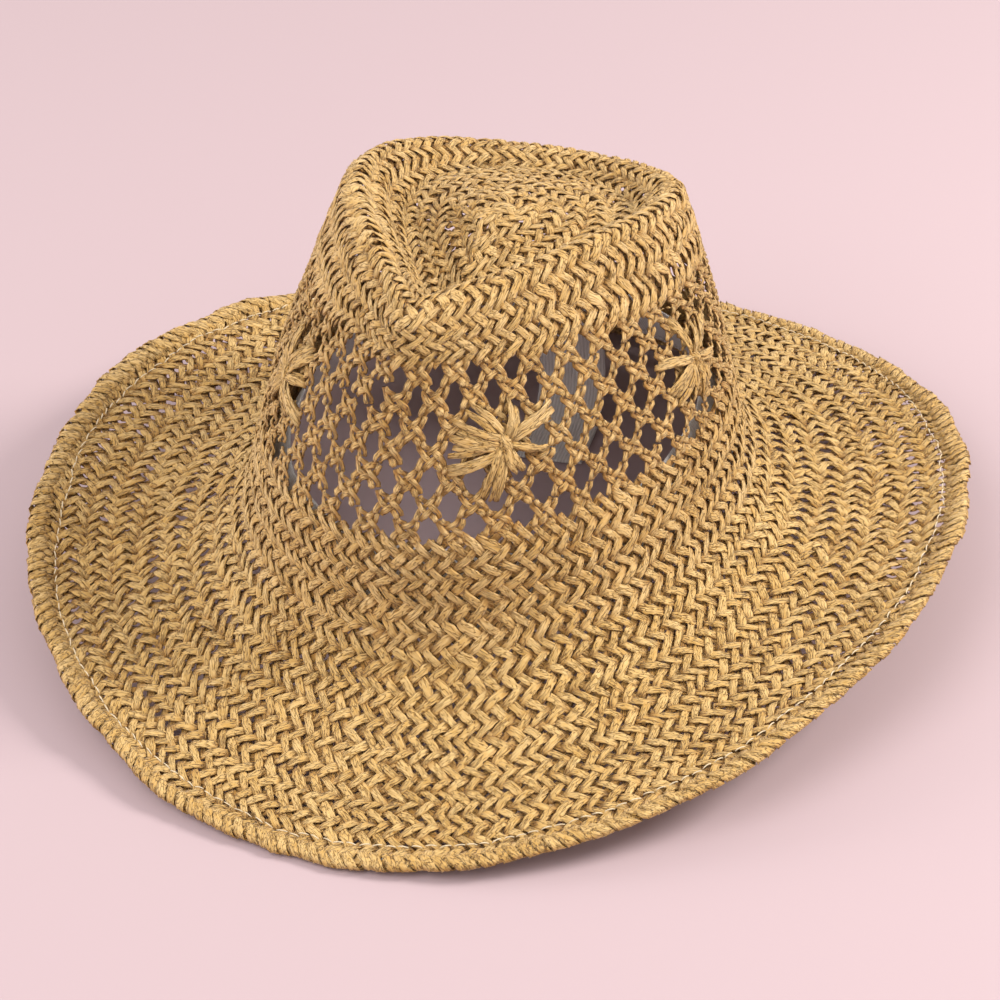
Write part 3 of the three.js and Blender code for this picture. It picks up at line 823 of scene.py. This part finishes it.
# %% Plait the upper crown
fine = {"floats": crown_floats, "pitch": CROWN_PLAIT["pitch"]}
high_rows = round((height_of(5) - height_of(4)) / CROWN_PLAIT["row"])
high_step = (height_of(5) - height_of(4)) / high_rows
plait("crown_upper_plait", crown_straw, "crown_upper_wall", height_of(4), high_step, 0, high_rows,
      **fine)
tip_end = float(fine_heights[-1])
tip_rows = round((tip_end - height_of(5)) / CROWN_PLAIT["row"])
tip_step = (tip_end - height_of(5)) / tip_rows
plait("crown_tip_plait", crown_straw, "crown_tip", height_of(5), tip_step, 0, tip_rows,
      parity=high_rows, **fine)

# %% Cross the starting strands
# A plaiter starts a crown from a few strands laid over each other, and they close its middle.
START_STRANDS, START_REACH = 5, 7.0
tip_centre = hat_point(CENTRE - CENTRE_MARGIN, FINE_ANGLES[:-1]).mean(axis=0)
start_bench = Bench(seed=440)
for strand in range(START_STRANDS):
    turn = math.pi * (strand + start_bench.chance.uniform(-0.2, 0.2)) / START_STRANDS
    share = np.linspace(-1, 1, 9)
    fall = 1.1 - 0.3 * strand - 1.3 * share ** 2
    x, y = START_REACH * share * math.cos(turn), START_REACH * share * math.sin(turn)
    path = tip_centre + np.stack([x, y, fall], axis=1)
    start_bench.strand(path, CROWN_PLAIT["width"], STRAND_THICKNESS, twist=0.3)
start = start_bench.finish("crown_tip_start")
add_attribute(start.data, "tone", "FLOAT", np.full(len(start.data.vertices), 0.5))
start.data.materials.append(crown_straw)
bpy.context.scene.collection.objects.link(start)
keep(start, "straw")

# %% [markdown]
# ## The openwork band
# Here the strands leave the close plait and cross in pairs, two over two, and the gaps between the
# knots are the windows. Each knot is one small copied shape whose strands end where the next
# knot's begin. The rows are offset by half a knot, which makes the windows diamonds.

# %% Openwork knots
KNOT_COLUMNS, KNOT_ROWS = 35, 7
knot_step = (height_of(4) - height_of(3)) / KNOT_ROWS
knot_middle = (height_of(3) + height_of(4)) / 2
knot_pitch = row_length(knot_middle) / KNOT_COLUMNS
print("knots are", round(knot_pitch, 1), "by", round(knot_step, 1), "mm")
KNOT_SPREAD, KNOT_PINCH = 1.2, 0.75
LACE_WIDTHS, LACE_THICKNESS = (1.8, 2.3), 1.3
LACE_SECTION = np.array([(1, 0), (0.6, 0.7), (0, 0.62), (-0.6, 0.75), (-1, 0), (0, -0.6)])


def openwork_knot(name, number):
    bench = Bench(seed=300 + number)
    share = np.linspace(-1, 1, 9)
    over_under = np.array([0.35, 0.75, 0.1, -0.7, -0.2, 0.7, 0.1, -0.6, -0.2])
    for lean in (1, -1):
        for side in (1, -1):
            x = knot_pitch / 4 * np.sin(math.pi / 2 * share)
            y = knot_step / 2 * share
            offset = side * lerp(KNOT_PINCH, KNOT_SPREAD, np.cos(math.pi / 2 * share) ** 2)
            slope = np.arctan2(np.gradient(y), np.gradient(x))
            x, y = x - offset * np.sin(slope), y + offset * np.cos(slope)
            z = over_under * side * lean + bench.chance.uniform(-0.1, 0.1)
            path = np.stack([lean * x, y, z], axis=1)
            bench.strand(path, bench.chance.uniform(*LACE_WIDTHS), LACE_THICKNESS,
                         LACE_SECTION, end=0.9, twist=0.2)
    return bench.finish(name)


openwork_knots = variants("openwork_knot", openwork_knot, 3)

# %% Where the stars are sewn
STAR_ANGLES = [math.radians(angle) for angle in (35, 90, 160, 232, 308)]
STAR_CLEAR = 5.0
middle_station = np.interp(knot_middle, fine_heights, fine_stations)
middle_ring = hat_point(np.full_like(FINE_ANGLES, middle_station), FINE_ANGLES)
middle_run = run_along(middle_ring)
star_centres = [(float(np.interp(angle, FINE_ANGLES, middle_run)), knot_middle)
                for angle in STAR_ANGLES]
star_marks = bpy.data.objects.new("star_marks", make_mesh(
    "star_marks", [(x * MM, y * MM, 0) for x, y in star_centres], []))
workshop.objects.link(star_marks)

# %% Lay the openwork
openwork = grow("openwork_lattice", rows_of_strands, {
    "Guide": guide, "Strands": openwork_knots, "Leans": 1, "Copies": 3,
    "First row": (height_of(3) + knot_step / 2) * MM, "Row height": knot_step * MM,
    "Rows": KNOT_ROWS, "Columns": KNOT_COLUMNS, "Start": 0.5, "Stagger": 0.5, "Turn": 0.02,
    "Shift": 0.0003, "Wander": 0.0016, "Clear of": star_marks, "Clear radius": STAR_CLEAR * MM,
    "Clear length": row_length(knot_middle) * MM, "Seed": 41, "Material": crown_straw})
keep(openwork, "straw", "openwork_band")

# %% [markdown]
# ## The stars
# Five stars decorate the openwork. On the real hat a bundle of strands is gathered and knotted
# over the lattice so that its ends fan out. Here each star is eight loose bundles of two to four
# strands that leave a knot, lie over the lattice and dive back into it. No two stars are the same.

# %% Tie one star
STAR_ARMS, STAR_REACH, STAR_SWAY = 8, 17.0, 3.6
STAR_LEVEL, KNOT_LEVEL, KNOT_STRANDS, KNOT_REACH = 1.9, 2.9, 4, 3.4


def star_mesh(number):
    bench = Bench(seed=500 + number)
    chance = bench.chance
    x0, y0 = star_centres[number]
    for arm in range(STAR_ARMS):
        turn = 2 * math.pi * (arm + chance.uniform(0.2, 0.8)) / STAR_ARMS
        far = STAR_REACH * chance.uniform(0.6, 1.12)
        sway = chance.uniform(-STAR_SWAY, STAR_SWAY)
        strands = chance.integers(2, 5)
        for number_in_arm in range(strands):
            side = number_in_arm - (strands - 1) / 2
            share = np.linspace(0, 1, 8)
            aside = side * lerp(1.0, 1.9, share) + sway * share ** 2 + chance.uniform(-0.7, 0.7)
            along = 1.6 + far * chance.uniform(0.85, 1.08) * share
            x = along * math.cos(turn) - aside * math.sin(turn)
            y = (along * math.sin(turn) + aside * math.cos(turn)) * 0.9
            z = STAR_LEVEL + 1.3 * np.sin(math.pi * share ** 0.8) - STAR_LEVEL * share ** 3
            z = z + chance.uniform(-0.5, 0.9) * (1 - share ** 2)
            bench.strand(np.stack([x0 + x, y0 + y, z], axis=1), chance.uniform(1.8, 2.6), 1.2,
                         end=0.8, twist=0.9)
    for knot in range(KNOT_STRANDS):
        turn = math.pi * knot / KNOT_STRANDS + chance.uniform(-0.3, 0.3)
        share = np.linspace(-1, 1, 7)
        x, y = KNOT_REACH * share * math.cos(turn), KNOT_REACH * share * math.sin(turn)
        z = KNOT_LEVEL + 0.3 * knot - 1.8 * share ** 2
        bench.strand(np.stack([x0 + x, y0 + y, z], axis=1), 2.6, 1.2, twist=0.4)
    source = bench.finish(f"star_{number + 1}_flat")
    length = np.full(len(source.data.vertices), row_length(knot_middle) * MM)
    add_attribute(source.data, "row_length", "FLOAT", length)
    return source.data


for number in range(len(STAR_ANGLES)):
    star = grow(f"star_{number + 1}", lay_on_hat,
                {"Guide": guide, "Wander": 0.0016, "Material": crown_straw},
                start=star_mesh(number))
    keep(star, "straw", f"star_motif_{number + 1}")

# %% [markdown]
# ## The bound edge
# The brim's edge is folded over a steel wire, so its strands come back under it, and then a sewing
# machine runs round it. Each fold is one slanting U-shaped strand over the edge, with a flat
# strand inside it that fills the gaps. They are short, so the plait seems to run on into them.

# %% Wrap the edge
WRAP_PITCH, WRAP_SLANT, WRAP_REACH, HEM_HALF = 4.2, 4.0, 5.4, 1.45
WRAP_WIDTH, WRAP_THICKNESS, WRAP_COPIES = 3.6, 1.1, 5
NOSE_START, NOSE_DEPTH, NOSE_SHARE = 1.6, 2.3, 0.46
LINING_WIDTH, LINING_THICKNESS = 4.4, 0.8


def edge_wrap(name, number):
    bench = Bench(seed=700 + number)
    chance = bench.chance
    turn = np.linspace(-1, 1, 13)
    round_nose = np.clip(turn * 3.4, -math.pi / 2, math.pi / 2)
    inward = np.clip((np.abs(turn) - NOSE_SHARE) / (1 - NOSE_SHARE), 0, 1)
    y = NOSE_START - NOSE_DEPTH * np.cos(round_nose) + (WRAP_REACH - NOSE_START) * inward
    z = HEM_HALF * np.sin(round_nose) * (1 + 0.12 * np.sin(math.pi * inward)) - 0.5 * inward ** 4
    x = -WRAP_SLANT * turn + chance.uniform(-0.5, 0.5)
    path = np.stack([x, y, z + chance.uniform(-0.1, 0.1)], axis=1)
    tangent = np.gradient(path, axis=0)
    face = np.cross(tangent, (1, 0, 0))
    bench.strand(path, WRAP_WIDTH * chance.uniform(0.8, 1.1), WRAP_THICKNESS, face=face,
                 end=0.75, twist=0.2)
    lining = path * (-0.8, 1, 0.5) + (0, 1.5, 0)
    bench.strand(lining[::2], LINING_WIDTH, LINING_THICKNESS, PLAIN_SECTION, face=face[::2])
    return bench.finish(name)


edge_wraps = variants("edge_wrap", edge_wrap, WRAP_COPIES)
wraps = grow("brim_hem_wraps", rows_of_strands, {
    "Guide": guide, "Strands": edge_wraps, "Leans": 1, "Copies": WRAP_COPIES, "First row": 0.0,
    "Rows": 1, "Pitch": WRAP_PITCH * MM, "Shift": 0.00045, "Turn": 0.12, "Lift": 0.0004,
    "Seed": 71, "Material": hem_straw})
keep(wraps, "straw", "brim_hem")

# %% [markdown]
# ## Sewing
# A stitch is a short bar of thread that dips at both ends, so one low-poly bar is copied round.

# %% Stitches
def stitch_bars(name, levels, length, width, thickness):
    bench = Bench(seed=900)
    for level in levels:
        share = np.linspace(-1, 1, 5)
        rise = math.copysign(0.45, level) * (1 - np.abs(share) ** 2.5)
        path = np.stack([share * length / 2, share * 0, level + rise], axis=1)
        bench.strand(path, width, thickness, PLAIN_SECTION, crumple=0.05, end=0.6)
    return variants(name, lambda name, number: bench.finish(name), 1)


SEAM_INSET = 8.2
seam = grow("hem_seam", rows_of_strands, {
    "Guide": guide, "Strands": stitch_bars("hem_stitch", (2.0, -1.6), 3.4, 0.5, 0.5),
    "Copies": 1, "First row": SEAM_INSET * MM, "Rows": 1, "Pitch": 0.0043, "Turn": 0.3,
    "Shift": 0.0003, "Seed": 73, "Material": thread})
keep(seam, "thread", "hem_stitching")

# %% [markdown]
# ## The sweatband
# A ribbon of ribbed satin is sewn inside the crown. It is too stiff and too well held to need a
# cloth simulation, so it is a thin ring on the inside of the flare, with a slight wave along its
# free upper edge.

# %% Sew in the sweatband
BAND_STATION, BAND_WIDTH, BAND_THICKNESS, BAND_SEAM = 1.62, 30.0, 0.6, 3.5
BAND_DEPTH = 1.2 + 1.3


def band_point(up, depth, angle):
    """A place on the ribbon: up from its sewn edge, and depth into the hat, in mm."""
    small = 1e-3
    ground = hat_point(BAND_STATION, angle)
    round_it = hat_point(BAND_STATION, angle + small) - hat_point(BAND_STATION, angle - small)
    upward = hat_point(BAND_STATION + small, angle) - hat_point(BAND_STATION - small, angle)
    upward /= np.linalg.norm(upward, axis=-1, keepdims=True)
    outward = np.cross(round_it, upward)
    outward /= np.linalg.norm(outward, axis=-1, keepdims=True)
    up, depth, _ = np.broadcast_arrays(np.asarray(up, float), np.asarray(depth, float), angle)
    return ground + upward * up[..., None] - outward * (BAND_DEPTH + depth)[..., None]


def ring_sheet(name, ups, depth_of, thickness, material):
    """A closed ribbon round the hat. depth_of(up, angle) gives its place; its grain is in mm."""
    angles = FINE_ANGLES[:-1:2]
    run = np.interp(angles, FINE_ANGLES, middle_run)
    profile = [(up, 0.0) for up in ups] + [(up, thickness) for up in reversed(ups)]
    rings = [band_point(up, depth_of(up, angles) + side, angles) for up, side in profile]
    grains = [np.stack([run, np.full_like(run, up), run * 0], axis=1) for up, _ in profile]
    count, rows = len(angles), len(profile)
    index = np.arange(rows * count).reshape(rows, count)
    right, above = np.roll(index, -1, axis=1), np.roll(index, -1, axis=0)
    corner = np.roll(above, -1, axis=1)
    faces = np.stack([index, above, corner, right], axis=-1).reshape(-1, 4)
    mesh = make_mesh(name, np.concatenate(rings) * MM, faces)
    add_attribute(mesh, "grain", "FLOAT_VECTOR", np.concatenate(grains))
    mesh.polygons.foreach_set("use_smooth", [True] * len(mesh.polygons))
    mesh.materials.append(material)
    print(name, len(mesh.polygons), "faces")
    return show(name, mesh)


def band_wave(up, angle):
    free = np.clip((up - BAND_SEAM) / (BAND_WIDTH - BAND_SEAM), 0, 1)
    return free * (0.45 * (1 + np.sin(9 * angle + 0.6)) + 0.3 * (1 + np.sin(17 * angle)))


band_ups = [0, 1, 2.6, 3.5, 4.4, 6, 9, 13, 17, 21, 25, 28, 29.4, 30]
sweatband = ring_sheet("sweatband_ribbon", band_ups, band_wave, BAND_THICKNESS, satin)
keep(sweatband, "satin", "sweatband")
band_rows = np.arange(-2.0, 12.0, 1.0)
band_guide, band_lengths = make_guide(
    "band_guide", band_rows, band_point(band_rows[:, None], 0, FINE_ANGLES[None, :]))
band_seam = grow("sweatband_seam", rows_of_strands, {
    "Guide": band_guide, "Strands": stitch_bars("band_stitch", (-0.95,), 3.0, 0.7, 0.5),
    "Copies": 1, "First row": BAND_SEAM * MM, "Rows": 1, "Pitch": 0.0038, "Turn": 0.08,
    "Shift": 0.0001, "Wander": 0.0, "Seed": 74, "Material": white_thread})
keep(band_seam, "thread", "sweatband_stitching")

# %% [markdown]
# ## The label
# A blank satin label hangs from the back of the sweatband, bends and lies on the table. A real one
# springs into a gentle curl, so its route is straight, then a quarter turn, then flat.

# %% Hang the label
LABEL_WIDTH, LABEL_LENGTH, LABEL_BEND, LABEL_AT = 26.0, 72.0, 20.0, math.radians(186)
LABEL_THICKNESS = 0.45


def label_piece():
    hollow = LABEL_WIDTH ** 2 / (8 * FOOT_HALF_WIDTH ** 2 / FOOT_HALF_LENGTH)
    sewn = band_point(BAND_SEAM + 4.5, 1.2 + 1.2 + hollow, np.array(LABEL_AT))
    top = sewn[2] - 0.3
    hang = top - LABEL_BEND
    steps = np.linspace(0, LABEL_LENGTH, 41)
    bent = np.clip((steps - hang) / LABEL_BEND, 0, math.pi / 2)
    lying = np.maximum(steps - hang - LABEL_BEND * math.pi / 2, 0)
    forward = LABEL_BEND * (1 - np.cos(bent)) + lying
    height = np.where(steps < hang, top - steps, LABEL_BEND - LABEL_BEND * np.sin(bent))
    across = np.linspace(-LABEL_WIDTH / 2, LABEL_WIDTH / 2, 15)
    yaw = LABEL_AT - math.pi
    ahead = np.array([math.sin(yaw), -math.cos(yaw), 0])
    aside = np.array([math.cos(yaw), math.sin(yaw), 0])
    curl = 0.5 * (across / (LABEL_WIDTH / 2)) ** 2
    base = np.array([sewn[0], sewn[1], LABEL_THICKNESS + 0.35])
    place = (base + forward[:, None, None] * ahead + across[None, :, None] * aside
             + np.stack([curl * 0, curl * 0, curl], axis=-1)[None])
    place[..., 2] += height[:, None]
    mesh = make_mesh("care_label_cloth", place * MM, grid_faces(len(steps), len(across)))
    grain = np.stack(np.meshgrid(across, steps) + [np.zeros((len(steps), len(across)))], axis=-1)
    add_attribute(mesh, "grain", "FLOAT_VECTOR", grain)
    mesh.polygons.foreach_set("use_smooth", [True] * len(mesh.polygons))
    mesh.materials.append(satin)
    piece = show("care_label_cloth", mesh)
    solid = piece.modifiers.new("thickness", "SOLIDIFY")
    solid.thickness, solid.offset = LABEL_THICKNESS * MM, 0
    return piece


label = label_piece()
keep(label, "satin", "care_label")

# %% [markdown]
# ## Wire and sleeve
# The steel wire inside the hem and the small sleeve that joins its ends are right as they are in
# the CAD model, so they only get their metal.

# %% Finish the metal
for node in ("brim_wire", "wire_ferrule"):
    metal_part = frame["nodes"][node]
    metal_part.data.materials.clear()
    metal_part.data.materials.append(steel)

# %% [markdown]
# ## Table, light and camera
# The hat sits on a plain pale table. One large soft light from the right and a little behind gives
# the plait its relief, and a pale room fills the shadows.

# %% Table
bpy.context.scene.collection.children.unlink(workshop)
TABLE_HALF = 3.0
table = show("table", make_mesh("table", [
    (-TABLE_HALF, -TABLE_HALF, 0), (TABLE_HALF, -TABLE_HALF, 0), (TABLE_HALF, TABLE_HALF, 0),
    (-TABLE_HALF, TABLE_HALF, 0)], [(0, 1, 2, 3)]))
table_finish, _, table_shader = new_material("pale_table")
table_shader.inputs["Base Color"].default_value = (0.47, 0.365, 0.395, 1)
table_shader.inputs["Roughness"].default_value = 0.85
table.data.materials.append(table_finish)


# %% Light
HAT_MIDDLE = Vector((0, 0, 0.05))


def area_light(name, place, size, power, colour):
    """A round soft light in watts that looks at the middle of the hat."""
    light = bpy.data.lights.new(name, "AREA")
    light.shape, light.size, light.energy, light.color = "DISK", size, power, colour
    holder = show(name, light)
    holder.location = place
    direction = HAT_MIDDLE - Vector(place)
    holder.rotation_euler = direction.to_track_quat("-Z", "Y").to_euler()


area_light("key_light", (1.12, 0.45, 0.95), 0.5, 23, (1.0, 0.96, 0.9))
area_light("left_fill", (-1.5, -0.35, 0.6), 0.9, 9, (1.0, 0.96, 0.93))
area_light("front_fill", (-0.45, -0.95, 1.45), 1.3, 13, (1.0, 0.97, 0.94))
world = bpy.data.worlds.new("room")
bpy.context.scene.world = world
world.use_nodes = True
world.node_tree.nodes["Background"].inputs["Color"].default_value = (1.0, 0.93, 0.9, 1)
world.node_tree.nodes["Background"].inputs["Strength"].default_value = 0.9
bpy.context.scene.view_settings.view_transform = "Standard"

# %% Camera
AZIMUTH, ELEVATION, TILT = math.radians(25.1), math.radians(35), math.radians(-4.35)
DISTANCE, LENS, SENSOR, LOOK_BELOW = 1.1, 110.8, 36, 0.0227
towards = Vector((math.sin(AZIMUTH) * math.cos(ELEVATION),
                  -math.cos(AZIMUTH) * math.cos(ELEVATION), math.sin(ELEVATION)))
upward = Vector((-math.sin(AZIMUTH) * math.sin(ELEVATION),
                 math.cos(AZIMUTH) * math.sin(ELEVATION), math.cos(ELEVATION)))
eye = HAT_MIDDLE + towards * DISTANCE
aim = HAT_MIDDLE - upward * LOOK_BELOW
camera_data = bpy.data.cameras.new("camera")
camera_data.lens, camera_data.sensor_width = LENS, SENSOR
camera = show("camera", camera_data)
camera.location = eye
look = (aim - eye).to_track_quat("-Z", "Y")
camera.rotation_euler = (look @ Quaternion((0, 0, 1), TILT)).to_euler()
bpy.context.scene.camera = camera
